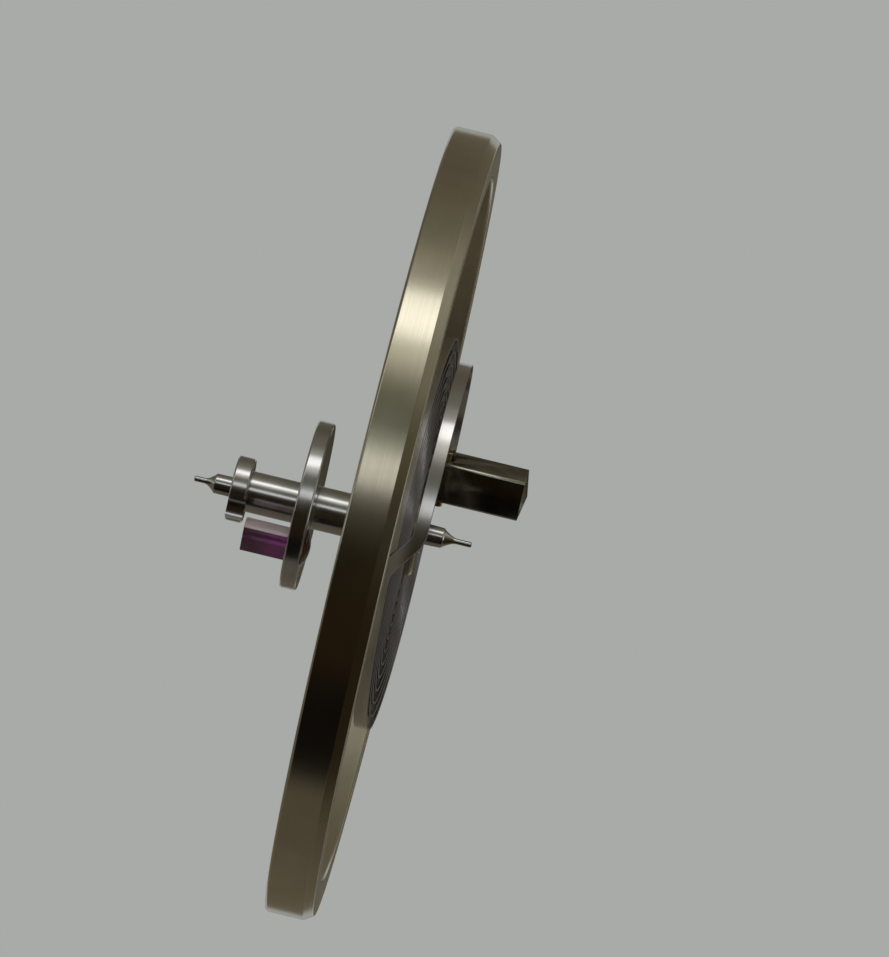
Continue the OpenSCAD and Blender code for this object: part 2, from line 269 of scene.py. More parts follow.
def bevelled(piece, width, angle=50, segments=2):
    # Breaks the outward corners, and leaves the inward ones as the cutter made them
    bm = bmesh.new()
    bm.from_mesh(piece.data)
    weight = bm.edges.layers.float.new("bevel_weight_edge")
    for edge in bm.edges:
        if edge.is_convex and edge.calc_face_angle(0) > math.radians(angle):
            edge[weight] = 1
    bm.to_mesh(piece.data)
    bm.free()
    made = piece.modifiers.new("bevel", "BEVEL")
    made.width, made.segments, made.limit_method = width, segments, "WEIGHT"
    made.harden_normals = True
    plain(piece)


def handedOver(piece, body, material, sharp=32):
    # Brings a finished piece to metres, gives it its finish and seats it on its body
    piece.data.transform(toMetres)
    piece.data.materials.clear()
    piece.data.materials.append(material)
    piece.data.shade_smooth()
    piece.data.set_sharp_from_angle(angle=math.radians(sharp))
    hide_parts(piece.name.replace("Fine", ""))
    if body:
        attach(piece, body)


# Finishes

class Finish(Graph):
    # A material whose patterns read the piece's own place in metres, so that a noise's scale of
    # 1000 has features of about a millimetre, and spacings and bumps are in metres too
    def __init__(self, name):
        self.material = bpy.data.materials.new(name)
        self.material.use_nodes = True
        super().__init__(self.material.node_tree)
        self.place = self.add("ShaderNodeTexCoord", output="Object")
        self.x, self.y, self.z = self.split(self.place)

    def fromAxis(self):
        return (self.x * self.x + self.y * self.y).maths("SQRT")

    def turningLines(self, spacing, drift=0.8, detail=4.0):
        # Noise drawn out round the staff, as a turning tool or a lap leaves it, whose lines follow
        # each other up the walls and, a little wider, out over the flats
        outShare, leastRadius, roughness = 0.83, 1e-5, 0.62
        radius = self.fromAxis()
        out = self.maths("MAXIMUM", radius, leastRadius)
        across = (self.z + radius * outShare) / spacing
        return self.noise(self.vector(self.x / out * drift, self.y / out * drift, across),
                          scale=1.0, detail=detail, roughness=roughness)

    def facesUp(self, low, high):
        # Where a face looks up or down the staff
        upward = self.split(self.add("ShaderNodeNewGeometry", output="True Normal"))[2]
        return self.ease(upward.maths("ABSOLUTE"), low, high)

    def tilted(self, low, high):
        # Where a face is tilted between two limits, such as at the rounding of an edge
        fadeIn, fadeOut = 0.1, 0.05
        return self.facesUp(low, low + fadeIn) * (1 - self.facesUp(high - fadeOut, high))

    def worn(self, tone, share, bright, edges=None):
        # Lightens edges, all those between walls and flats if none are named: edge wear together
        # with a painted highlight
        edges = edges or self.tilted(0.1, 0.98)
        return self.mixColour(edges * share, tone, bright)

    def bump(self, height, depth):
        return self.add("ShaderNodeBump", values={"Height": height, "Distance": depth})

    def shader(self, **values):
        names = {"colour": "Base Color", "metallic": "Metallic", "roughness": "Roughness",
                 "normal": "Normal", "coat": "Coat Weight", "ior": "IOR",
                 "transmission": "Transmission Weight"}
        made = self.add("ShaderNodeBsdfPrincipled",
                        values={names[key]: value for key, value in values.items()})
        self.add("ShaderNodeOutputMaterial", values={0: made})
        return self.material


def rgb(red, green, blue):
    return (red, green, blue, 1)


def polishedSteel():
    f = Finish("polishedSteel")
    grey, pale, bright = rgb(0.60, 0.60, 0.605), rgb(0.72, 0.72, 0.73), rgb(0.86, 0.86, 0.86)
    lines = f.turningLines(spacing=9e-6)
    cloud = f.noise(f.place, scale=2200, detail=3, roughness=0.6)
    tone = f.mixColour(f.ease(cloud, 0.3, 0.7), grey, pale)
    hazy = f.ease(cloud, 0.5, 0.8)
    # The edges are lightened for edge wear and as a painted highlight
    return f.shader(colour=f.worn(tone, 0.5, bright), metallic=1.0,
                    roughness=0.14 + lines * 0.08 + hazy * 0.08,
                    normal=f.bump(lines, depth=2.5e-7))


def shellac():
    f = Finish("shellac")
    deep, thin = rgb(0.03, 0.013, 0.006), rgb(0.085, 0.038, 0.016)
    cloud = f.noise(f.place, scale=9000, detail=3, roughness=0.6)
    return f.shader(colour=f.mixColour(cloud, deep, thin), metallic=0.0,
                    roughness=0.12 + cloud * 0.15, coat=0.6, normal=f.bump(cloud, depth=4e-6))


def colletMetal():
    f = Finish("colletMetal")
    brown, pale, bright = rgb(0.40, 0.36, 0.27), rgb(0.54, 0.49, 0.38), rgb(0.74, 0.69, 0.56)
    lines = f.turningLines(spacing=1.1e-5)
    tone = f.mixColour(f.ease(lines, 0.3, 0.7), brown, pale)
    # The edges are lightened for edge wear and as a painted highlight
    return f.shader(colour=f.worn(tone, 0.5, bright), metallic=1.0,
                    roughness=0.22 + lines * 0.12, normal=f.bump(lines, depth=4e-7))


def springAlloy():
    f = Finish("springAlloy")
    grey, pale, dark = rgb(0.66, 0.655, 0.67), rgb(0.76, 0.75, 0.755), rgb(0.05, 0.042, 0.032)
    lines = f.turningLines(spacing=1.4e-5, drift=6.0, detail=3.0)
    cloud = f.noise(f.place, scale=1400, detail=2, roughness=0.5)
    tone = f.mixColour(f.ease(cloud, 0.35, 0.65), grey, pale)

    # The strip's flats are polished by the rolls and its slit edges are dull; the near-black colour
    # of the edges is painted shade, for the dark between the coils
    edge = f.facesUp(0.08, 0.3)
    return f.shader(colour=f.mixColour(edge * 0.95, tone, dark), metallic=1 - edge * 0.8,
                    roughness=0.13 + lines * 0.07 + edge * 0.45,
                    normal=f.bump(lines, depth=6e-8))


def pinBrass():
    f = Finish("pinBrass")
    brown, yellow = rgb(0.56, 0.43, 0.2), rgb(0.78, 0.62, 0.34)
    grain = f.noise(f.place, scale=24000, detail=3, roughness=0.6)
    return f.shader(colour=f.mixColour(grain, brown, yellow), metallic=1.0,
                    roughness=0.2 + grain * 0.15, normal=f.bump(grain, depth=6e-7))


finishes = {
    "polished_steel": polishedSteel(), "shellac": shellac(), "collet_metal": colletMetal(),
    "spring_alloy": springAlloy(), "pin_brass": pinBrass(),
}
print("finishes are made")


# Balance wheel

wheel = {
    "rimRadius": 5.0, "rimWidth": 0.52, "rimLow": 2.13, "rimHigh": 2.73,
    "bevelHeight": 0.12, "bevelWidth": 0.08, "edge": 0.03, "softness": 0.01,
    "arms": 3, "armWidth": 0.5, "armLow": 2.27, "armHigh": 2.47, "fillet": 0.5, "runOut": 0.1,
    "hubRadius": 1.0, "bore": 0.452, "edgeBreak": 0.014,
    "steps": 480, "armColumns": 361, "hubSteps": 160, "boreSteps": 120,
}


def geometryTree(name, inputs):
    # New Geometry Nodes tree with a geometry in and out and named inputs for its sizes, and the
    # sockets that give them in the tree
    tree = bpy.data.node_groups.new(name, "GeometryNodeTree")
    face = tree.interface
    face.new_socket("Geometry", in_out="OUTPUT", socket_type="NodeSocketGeometry")
    face.new_socket("Geometry", in_out="INPUT", socket_type="NodeSocketGeometry")
    kinds = {float: "NodeSocketFloat", int: "NodeSocketInt", tuple: "NodeSocketVector"}
    for label, value in inputs.items():
        made = face.new_socket(label, in_out="INPUT", socket_type=kinds[type(value)])
        made.default_value = value
    graph = Graph(tree)
    start = graph.add("NodeGroupInput")
    return graph, {label: start.out(label) for label in ("Geometry", *inputs)}


def grown(piece, graph, inputs, geometry, material):
    # Ends a tree, runs it on the piece and leaves a plain mesh
    made = graph.add("GeometryNodeRealizeInstances", values={0: geometry})
    made = graph.add("GeometryNodeSetMaterial", values={0: made, "Material": material})
    graph.add("NodeGroupOutput", values={0: made})
    modifier = piece.modifiers.new(graph.tree.name, "NODES")
    modifier.node_group = graph.tree
    for item in graph.tree.interface.items_tree:
        if item.in_out == "INPUT" and item.name in inputs:
            modifier[item.identifier] = inputs[item.name]
    return plain(piece)


def balanceAlloy(w):
    f = Finish("balanceAlloySatin")
    straw, pale = rgb(0.64, 0.60, 0.48), rgb(0.74, 0.69, 0.565)
    dull, bright = rgb(0.52, 0.47, 0.36), rgb(0.82, 0.78, 0.68)
    lines = f.turningLines(spacing=1.6e-5)
    cloud = f.noise(f.place, scale=900, detail=3, roughness=0.55)
    fine = f.noise(f.place, scale=16000, detail=2, roughness=0.6)
    tone = f.mixColour(f.ease(cloud, 0.35, 0.68), straw, pale)
    tone = f.mixColour(f.ease(lines, 0.25, 0.75) * 0.22, tone, dull)

    # The bevel isn't lightened: it is tilted by 0.55, between the two kinds of edge beside it. The
    # lightened edges are edge wear and a painted highlight.
    tone = f.worn(tone, 0.25, bright, f.tilted(0.1, 0.52) + f.tilted(0.6, 0.98))

    # The rim is polished outside, and plain turned on its flat sides and inside
    innerAt = w["rimRadius"] - w["rimWidth"]
    inside = 1 - f.ease(f.fromAxis() / mm, innerAt + 0.003, innerAt + 0.009)
    flat = f.facesUp(0.8, 0.95)
    polished = 0.11 + lines * 0.06 + cloud * 0.05 + fine * 0.02
    return f.shader(colour=tone, metallic=1.0,
                    roughness=polished + f.maths("MAXIMUM", flat * 0.24, inside * 0.26),
                    normal=f.bump(lines * (1 - flat * 0.8), depth=6e-7))


def makeWheel(w):
    outer, inner = w["rimRadius"], w["rimRadius"] - w["rimWidth"]
    low, high, edge = w["rimLow"], w["rimHigh"], w["edge"]
    rim = turned("balance_wheelFine", eased([
        (inner, low + edge), (inner + edge, low), (outer - edge, low), (outer, low + edge),
        (outer, high - w["bevelHeight"]), (outer - w["bevelWidth"], high),
        (inner + edge, high), (inner, high - edge)], w["softness"]), w["steps"])
    inputs = {
        "Arms": w["arms"], "Arm Width": w["armWidth"], "Arm Low": w["armLow"],
        "Arm High": w["armHigh"], "Fillet": w["fillet"], "Hub Radius": w["hubRadius"],
        "Rim Inner Radius": inner, "Bore Radius": w["bore"], "First Arm": jewelAngle,
    }
    g, size = geometryTree("wheelArms", inputs)
    thick = size["Arm High"] - size["Arm Low"]
    middle = (size["Arm High"] + size["Arm Low"]) * 0.5

    # One arm is a box cut fine along X, from inside the hub to inside the rim, whose sides are
    # drawn out to fillets that touch the hub's round at one end and the rim's wall at the other
    shareOfHub, intoRim, anyWidth = 0.7, 0.2, 1.0
    first = size["Hub Radius"] * shareOfHub
    last = size["Rim Inner Radius"] + intoRim
    box = g.add("GeometryNodeMeshCube", values={
        "Size": g.vector(last - first, anyWidth, thick), "Vertices X": w["armColumns"]})
    x, y, z = g.split(g.add("GeometryNodeInputPosition"))
    along, fillet = x + (last + first) * 0.5, size["Fillet"]
    off = size["Arm Width"] * 0.5 + fillet
    toHub, toRim = size["Hub Radius"] + fillet, size["Rim Inner Radius"] - fillet
    hubAt = (toHub * toHub - off * off).maths("SQRT")
    rimAt = (toRim * toRim - off * off).maths("SQRT")
    inHub = g.maths("MINIMUM", hubAt - along, hubAt * fillet / toHub)
    inRim = g.maths("MINIMUM", along - rimAt, fillet)
    into = g.maths("MAXIMUM", g.maths("MAXIMUM", inHub, inRim), 0.0)
    swell = fillet - (fillet * fillet - into * into).maths("SQRT")

    # At the wall a fillet has turned by more than a quarter, and its last part is drawn straight
    quarterTurned = 0.999
    runOut = (inRim > fillet * quarterTurned) * w["runOut"]
    half = size["Arm Width"] * 0.5 + swell + runOut
    arm = g.add("GeometryNodeSetPosition", values={
        0: box, "Position": g.vector(along, y.maths("SIGN") * half, z + middle)})

    spots = g.add("GeometryNodePoints", values={"Count": size["Arms"]})
    turn = g.add("GeometryNodeInputIndex") * math.tau / size["Arms"] + size["First Arm"]
    arms = g.add("GeometryNodeInstanceOnPoints", values={
        "Points": spots, "Instance": arm, "Rotation": g.vector(0.0, 0.0, turn)})
    arms = g.add("GeometryNodeRealizeInstances", values={0: arms})

    def disc(radius, depth, vertices):
        made = g.add("GeometryNodeMeshCylinder", values={
            "Vertices": vertices, "Radius": radius, "Depth": depth})
        return g.add("GeometryNodeTransform", values={
            0: made, "Translation": g.vector(0.0, 0.0, middle)})

    hub = disc(size["Hub Radius"], thick, w["hubSteps"])
    bore = disc(size["Bore Radius"], 2 * pastPiece, w["boreSteps"])
    joined = g.add("GeometryNodeMeshBoolean", {"operation": "UNION", "solver": "EXACT"})
    for part in (hub, arms, size["Geometry"]):
        g.tree.links.new(part.link(), joined.made.inputs["Mesh 2"])
    whole = g.add("GeometryNodeMeshBoolean", {"operation": "DIFFERENCE", "solver": "EXACT"},
                  {"Mesh 1": joined, "Mesh 2": bore})
    finish = balanceAlloy(w)
    grown(rim, g, inputs, whole, finish)
    bevelled(rim, w["edgeBreak"])
    handedOver(rim, "balance", finish)


makeWheel(wheel)
print("balance wheel is made")


# Balance staff

staff = {
    "pivotRadius": 0.035, "lowPivot": 0.13, "upPivot": 0.18, "lowTrumpet": 0.14,
    "upTrumpet": 0.19, "collar": 0.02,
    "arborRadius": 0.125, "arborWide": 0.133, "shoulder": 1.55,
    "bodyRadius": 0.275, "flangeLow": 2.11, "flangeHigh": 2.27, "flangeRadius": 0.75,
    "seatRadius": 0.45, "hubTop": 2.47, "rivetRadius": 0.54, "rivetTop": 2.52,
    "colletSeat": 0.25, "seatTop": 2.93, "upArborRadius": 0.135, "upArborEnd": 0.127,
    "upArborTop": 3.17, "top": 3.54, "softness": 0.01, "steps": 128,
}


def makeStaff(s):
    pivot, tip = s["pivotRadius"], s["pivotRadius"] / 3     # each pivot's end is broken by tip

    def trumpet(end, length):
        # A pivot widens to its arbor on a quarter of an ellipse
        rise, steps = length - s["collar"], 14
        return [(pivot + (end - s["collar"] - pivot) * (1 - math.cos(math.pi / 2 * k / steps)),
                 rise * k / steps) for k in range(steps + 1)]

    arborLow = s["lowPivot"] + s["lowTrumpet"]
    upPivot = s["top"] - s["upPivot"]
    lower = [(r, s["lowPivot"] + h) for r, h in trumpet(s["arborRadius"], s["lowTrumpet"])]
    upper = [(r, upPivot - h) for r, h in reversed(trumpet(s["upArborEnd"], s["upTrumpet"]))]
    outline = [(0, 0), (pivot - tip, 0), (pivot, tip), *lower,
               (s["arborRadius"], arborLow), (s["arborWide"], s["shoulder"]),
               (s["bodyRadius"], s["shoulder"]), (s["bodyRadius"], s["flangeLow"]),
               (s["flangeRadius"], s["flangeLow"]), (s["flangeRadius"], s["flangeHigh"]),
               (s["seatRadius"], s["flangeHigh"]), (s["seatRadius"], s["hubTop"]),
               (s["rivetRadius"], s["hubTop"]), (s["seatRadius"], s["rivetTop"]),
               (s["colletSeat"], s["rivetTop"]), (s["colletSeat"], s["seatTop"]),
               (s["upArborRadius"], s["seatTop"]), (s["upArborEnd"], s["upArborTop"]), *upper,
               (pivot, s["top"] - tip), (pivot - tip, s["top"]), (0, s["top"])]
    piece = turned("balance_staffFine", eased(outline, s["softness"], closed=False), s["steps"])
    handedOver(piece, "balance", finishes["polished_steel"])


makeStaff(staff)
print("balance staff is made")


# Rollers and impulse jewel

rollers = {
    "tableRadius": 1.065, "tableLow": 1.34, "tableHigh": 1.55, "pipeRadius": 0.26,
    "pipeLow": 0.7, "safetyRadius": 0.41, "safetyLow": 0.48, "hollowRadius": 0.2,
    "hollowDepth": 0.15, "edge": 0.02, "softness": 0.008, "boreLow": 0.1275, "boreHigh": 0.135,
    "steps": 256, "hollowSteps": 96,
}
jewel = {
    "radius": 0.21, "flat": 0.11, "wall": 0.16, "low": 0.78, "high": 1.58, "edgeBreak": 0.012,
    "beadRadius": 0.25, "beadHeight": 0.08, "steps": 96, "beadSteps": 64, "beadRings": 10,
}
jewelFlatAt = jewel["radius"] - jewel["flat"]
jewelAt = rollers["tableRadius"] - jewel["wall"] - jewelFlatAt
jewelPlace = Matrix.Rotation(jewelAngle, 4, "Z") @ Matrix.Translation((jewelAt, 0, 0))


def jewelOutline(gap):
    # Round back with a flat face towards +X
    radius, flat = jewel["radius"] + gap, jewelFlatAt + gap
    half = math.acos(flat / radius)
    steps = jewel["steps"]
    return [(radius * math.cos(a), radius * math.sin(a))
            for a in (half + (math.tau - 2 * half) * k / steps for k in range(steps + 1))]


def makeRollers(r):
    edge, table = r["edge"], r["tableRadius"]
    outline = [(r["boreLow"], r["pipeLow"]), (r["pipeRadius"], r["pipeLow"]),
               (r["pipeRadius"], r["tableLow"]), (table - edge, r["tableLow"]),
               (table, r["tableLow"] + edge), (table, r["tableHigh"] - edge),
               (table - edge, r["tableHigh"]), (r["boreHigh"], r["tableHigh"])]
    impulse = turned("impulse_rollerFine", eased(outline, r["softness"]), r["steps"])
    hole = prism("jewelHole", jewelOutline(seatGap), r["tableLow"] - pastPiece,
                 r["tableHigh"] + pastPiece)
    cut(impulse, placed(hole, jewelPlace))
    handedOver(impulse, "balance", finishes["polished_steel"])

    radius, low, high = r["safetyRadius"], r["safetyLow"], r["pipeLow"]
    outline = [(r["boreLow"], low), (radius - edge, low), (radius, low + edge),
               (radius, high - edge), (radius - edge, high), (r["boreLow"], high)]
    safety = turned("safety_rollerFine", eased(outline, r["softness"]), r["steps"])
    hollow = drill(r["hollowRadius"], low - pastPiece, high + pastPiece, r["hollowSteps"])
    away = radius - r["hollowDepth"] + r["hollowRadius"]
    placed(hollow, Matrix.Rotation(jewelAngle, 4, "Z") @ Matrix.Translation((away, 0, 0)))
    cut(safety, hollow)
    handedOver(safety, "balance", finishes["polished_steel"])


def ruby():
    f = Finish("rubySynthetic")
    cloud = f.noise(f.place, scale=5200, detail=2, roughness=0.5)
    fine = f.noise(f.place, scale=30000, detail=2, roughness=0.6)
    deep = f.mixColour(cloud, rgb(0.06, 0.02, 0.045), rgb(0.13, 0.045, 0.1))
    groundAndReflection = f.mixColour(cloud, rgb(0.62, 0.46, 0.52), rgb(0.82, 0.7, 0.74))

    # A painted glow lightens the deep colour towards the roller, for the light that gathers in the
    # stone
    paintedGlow = f.ease(f.z / mm, 0.95, 1.25) * 0.55
    deep = f.mixColour(paintedGlow, deep, rgb(0.3, 0.03, 0.26))

    # The flat that the fork touches is polished and dark, and the round back is ground; the back's
    # pale colour is also a painted reflection
    reach = (f.x * math.cos(jewelAngle) + f.y * math.sin(jewelAngle)) / mm
    flatAt = jewelAt + jewelFlatAt
    back = 1 - f.ease(reach, flatAt - 0.008, flatAt - 0.003)
    return f.shader(colour=f.mixColour(back, deep, groundAndReflection), metallic=0.0,
                    roughness=0.05 + fine * 0.04 + back * 0.15, ior=1.77, transmission=0.7)


def makeJewel(j):
    stone = prism("impulse_jewelFine", jewelOutline(0), j["low"], j["high"])
    bevelled(stone, j["edgeBreak"], angle=40, segments=3)
    handedOver(placed(stone, jewelPlace), "balance", ruby())

    # The bead is a cap of a ball
    ball = (j["beadRadius"] ** 2 + j["beadHeight"] ** 2) / (2 * j["beadHeight"])
    spread = math.asin(j["beadRadius"] / ball)
    base, rings = rollers["tableHigh"], j["beadRings"]
    dome = [(ball * math.sin(spread * k / rings),
             base + j["beadHeight"] - ball * (1 - math.cos(spread * k / rings)))
            for k in range(rings + 1)]
    bead = turned("jewel_shellacFine", [*dome, (0, base)], j["beadSteps"])
    recess = prism("recess", jewelOutline(seatGap), base - pastPiece, j["high"] + seatGap)
    cut(bead, recess)
    handedOver(placed(bead, jewelPlace), "balance", finishes["shellac"])


makeRollers(rollers)
makeJewel(jewel)
print("rollers and impulse jewel are made")


# Collet, stud and their pins

pinned = {
    "pinDiameter": 0.13, "pinTaper": 0.016, "pinOver": 0.1, "pinSoftness": 0.014, "strip": 0.03,
    "stripHeight": 0.17, "steps": 64,
}

# A cross hole holds the strip on one side and the pin on the other. The pin and the strip's outer
# edges touch the hole's round, which gives its radius.
holeWidth = pinned["pinDiameter"] + pinned["strip"] + 3 * seatGap
holeRadius = (holeWidth ** 2 + (pinned["stripHeight"] / 2) ** 2) / (2 * holeWidth)
stripOff = holeWidth - holeRadius - seatGap - pinned["strip"] / 2
pinOff = holeRadius - seatGap - pinned["pinDiameter"] / 2

collet = {
    "radius": 0.55, "bore": 0.252, "low": 2.54, "high": 2.9, "holeAt": 0.4, "slot": 0.07,
    "edge": 0.03, "softness": 0.01, "edgeBreak": 0.008, "steps": 160,
}
spring = {
    "turns": 11.5, "firstRadius": 0.67, "outerRadius": 2.55, "flatHeight": 2.72,
    "raisedHeight": 2.97, "lean": 0.1, "leanAngle": 25, "kneeAngle": 244, "kneeSweep": 14,
    "followSweep": 29, "studAngle": 96, "studRadius": 1.385, "ease": 0.1, "straightTurn": 80,
    "tail": 0.07, "tailSweep": 10.0, "step": 2.5, "corner": 0.007, "cornerSteps": 3,
    "heldInside": 1.3, "heldOutside": 0.2,
}
stud = {
    "width": 0.53, "foot": 2.83, "top": 4.05, "footBevel": 0.08, "hip": 0.06, "edge": 0.03,
    "edgeBreak": 0.007,
}
footAngle = spring["kneeAngle"] + 360 * spring["turns"]


def overcoilArc(s, width):
    # The inward arc touches the outer coil where it leaves it, and ends at the stud
    followAngle = s["kneeAngle"] - s["kneeSweep"] - s["followSweep"]
    followWay = Vector((math.cos(math.radians(followAngle)), math.sin(math.radians(followAngle))))
    studIn = s["studRadius"] * Vector((math.cos(math.radians(s["studAngle"])),
                                       math.sin(math.radians(s["studAngle"]))))
    inward, outer = studIn.dot(followWay), s["outerRadius"]
    radius = (studIn.dot(studIn) - 2 * inward * outer + outer ** 2) / (2 * (outer - inward))
    centre = (outer - radius) * followWay
    reach = studIn - centre
    endAngle = math.degrees(math.atan2(reach.y, reach.x))
    runAngle = math.radians(endAngle - 90)
    runWay = Vector((math.cos(runAngle), math.sin(runAngle)))
    return {
        "followAngle": followAngle, "radius": radius, "centre": centre, "studIn": studIn,
        "sweep": (followAngle - endAngle) % 360, "runAngle": runAngle, "runWay": runWay,
        "studMiddle": studIn + runWay * width / 2,
    }


arc = overcoilArc(spring, stud["width"])
colletHole = (Matrix.Rotation(math.radians(footAngle - 90), 4, "Z")
              @ Matrix.Translation((0, collet["holeAt"], spring["flatHeight"])))
studHole = (Matrix.Translation((*arc["studMiddle"], spring["raisedHeight"]))
            @ Matrix.Rotation(arc["runAngle"], 4, "Z") @ Matrix.Translation((0, -stripOff, 0)))
quarterTurn = Matrix.Rotation(math.pi / 2, 4, "Y")


def crossHole(length, place):
    hole = drill(holeRadius, -length / 2, length / 2, pinned["steps"])
    return placed(hole, place @ quarterTurn)


def makePin(name, length, place, body):
    thin = (pinned["pinDiameter"] - pinned["pinTaper"]) / 2
    thick, half = pinned["pinDiameter"] / 2, length / 2
    outline = eased([(0, -half), (thin, -half), (thick, half), (0, half)],
                    pinned["pinSoftness"], closed=False)
    pin = turned(name, outline, pinned["steps"])
    placed(pin, place @ Matrix.Translation((0, -pinOff, 0)) @ quarterTurn)
    handedOver(pin, body, finishes["pin_brass"])


def makeCollet(c):
    edge = c["edge"]
    ring = turned("colletFine", eased([
        (c["bore"], c["low"]), (c["radius"] - edge, c["low"]), (c["radius"], c["low"] + edge),
        (c["radius"], c["high"] - edge), (c["radius"] - edge, c["high"]),
        (c["bore"], c["high"])], c["softness"]), c["steps"])
    half, across = c["slot"] / 2, 2 * c["radius"]
    slot = prism("slot", [(0, -half), (across, -half), (across, half), (0, half)],
                 c["low"] - pastPiece, c["high"] + pastPiece)

    # The slot opens a quarter turn from where the cross hole comes nearest to the staff
    placed(slot, Matrix.Rotation(math.radians(footAngle + 270), 4, "Z"))
    cut(ring, crossHole(2 * across, colletHole), slot)
    bevelled(ring, c["edgeBreak"])
    handedOver(ring, "balance", finishes["collet_metal"])
    reach = math.sqrt(c["radius"] ** 2 - c["holeAt"] ** 2)
    makePin("collet_pinFine", 2 * (reach + pinned["pinOver"]), colletHole, "balance")


def darkSteel(s):
    f = Finish("darkSteel")
    dark, grey, bright = rgb(0.2, 0.2, 0.165), rgb(0.34, 0.33, 0.28), rgb(0.62, 0.6, 0.52)
    wide, tall = 1.3e-5, 3.5e-4
    grain = f.noise(f.vector(f.x / wide, f.y / wide, f.z / tall), scale=1.0, detail=4,
                    roughness=0.6)
    cloud = f.noise(f.place, scale=4200, detail=3, roughness=0.6)
    tone = f.mixColour(f.ease(cloud, 0.3, 0.75), dark, grey)

    # Both walls beside a long edge lie far out from the bar's middle, so the mask finds the edges.
    # They are lightened strongly: a painted highlight line along them, and edge wear.
    turn, middle = arc["runAngle"], arc["studMiddle"] * mm
    x, y = f.x - middle.x, f.y - middle.y
    along = (x * math.cos(turn) + y * math.sin(turn)).maths("ABSOLUTE")
    across = (y * math.cos(turn) - x * math.sin(turn)).maths("ABSOLUTE")
    half = s["width"] / 2 * mm
    nearEdge = f.ease(f.maths("MINIMUM", along, across) / half + cloud * 0.08, 0.9, 0.97)
    return f.shader(colour=f.worn(tone, 0.8, bright, nearEdge), metallic=1.0,
                    roughness=0.17 + grain * 0.07 + nearEdge * 0.05,
                    normal=f.bump(grain, depth=3e-7))


def makeStud(s):
    # Square bar with broken edges, cut to a bevelled foot and a hipped top on all four sides. Each
    # slope has the level it starts from, the way it faces, its run inwards and its rise.
    half, edge = s["width"] / 2, s["edge"]
    inner = half - edge
    section = [(half, -inner), (half, inner), (inner, half), (-inner, half),
               (-half, inner), (-half, -inner), (-inner, -half), (inner, -half)]
    bar = prism("studFine", section, s["foot"], s["top"])
    slopes = [(s["foot"], -1, s["footBevel"], s["footBevel"]), (s["top"], 1, half, s["hip"])]
    bm = bmesh.new()
    bm.from_mesh(bar.data)
    for level, way, run, rise in slopes:
        for side in range(4):
            out = Vector((math.cos(side * math.pi / 2), math.sin(side * math.pi / 2), 0))
            normal = (out * rise + Vector((0, 0, way * run))).normalized()
            at = out * half + Vector((0, 0, level - way * rise))
            cutFaces = bmesh.ops.bisect_plane(
                bm, geom=[*bm.verts, *bm.edges, *bm.faces], plane_co=at, plane_no=normal,
                clear_outer=True, dist=1e-6)
            rim = [e for e in cutFaces["geom_cut"] if isinstance(e, bmesh.types.BMEdge)]
            bmesh.ops.contextual_create(bm, geom=rim)
    bm.normal_update()
    facedOut(bm).to_mesh(bar.data)
    bm.free()
    placed(bar, Matrix.Translation((*arc["studMiddle"], 0))
           @ Matrix.Rotation(arc["runAngle"], 4, "Z"))
    cut(bar, crossHole(2 * s["width"], studHole))
    bevelled(bar, s["edgeBreak"], angle=25)
    handedOver(bar, "stud_side", darkSteel(s))
    makePin("stud_pinFine", s["width"] + 2 * pinned["pinOver"], studHole, "stud_side")


makeCollet(collet)
makeStud(stud)
print("collet, stud and pins are made")


# Hairspring

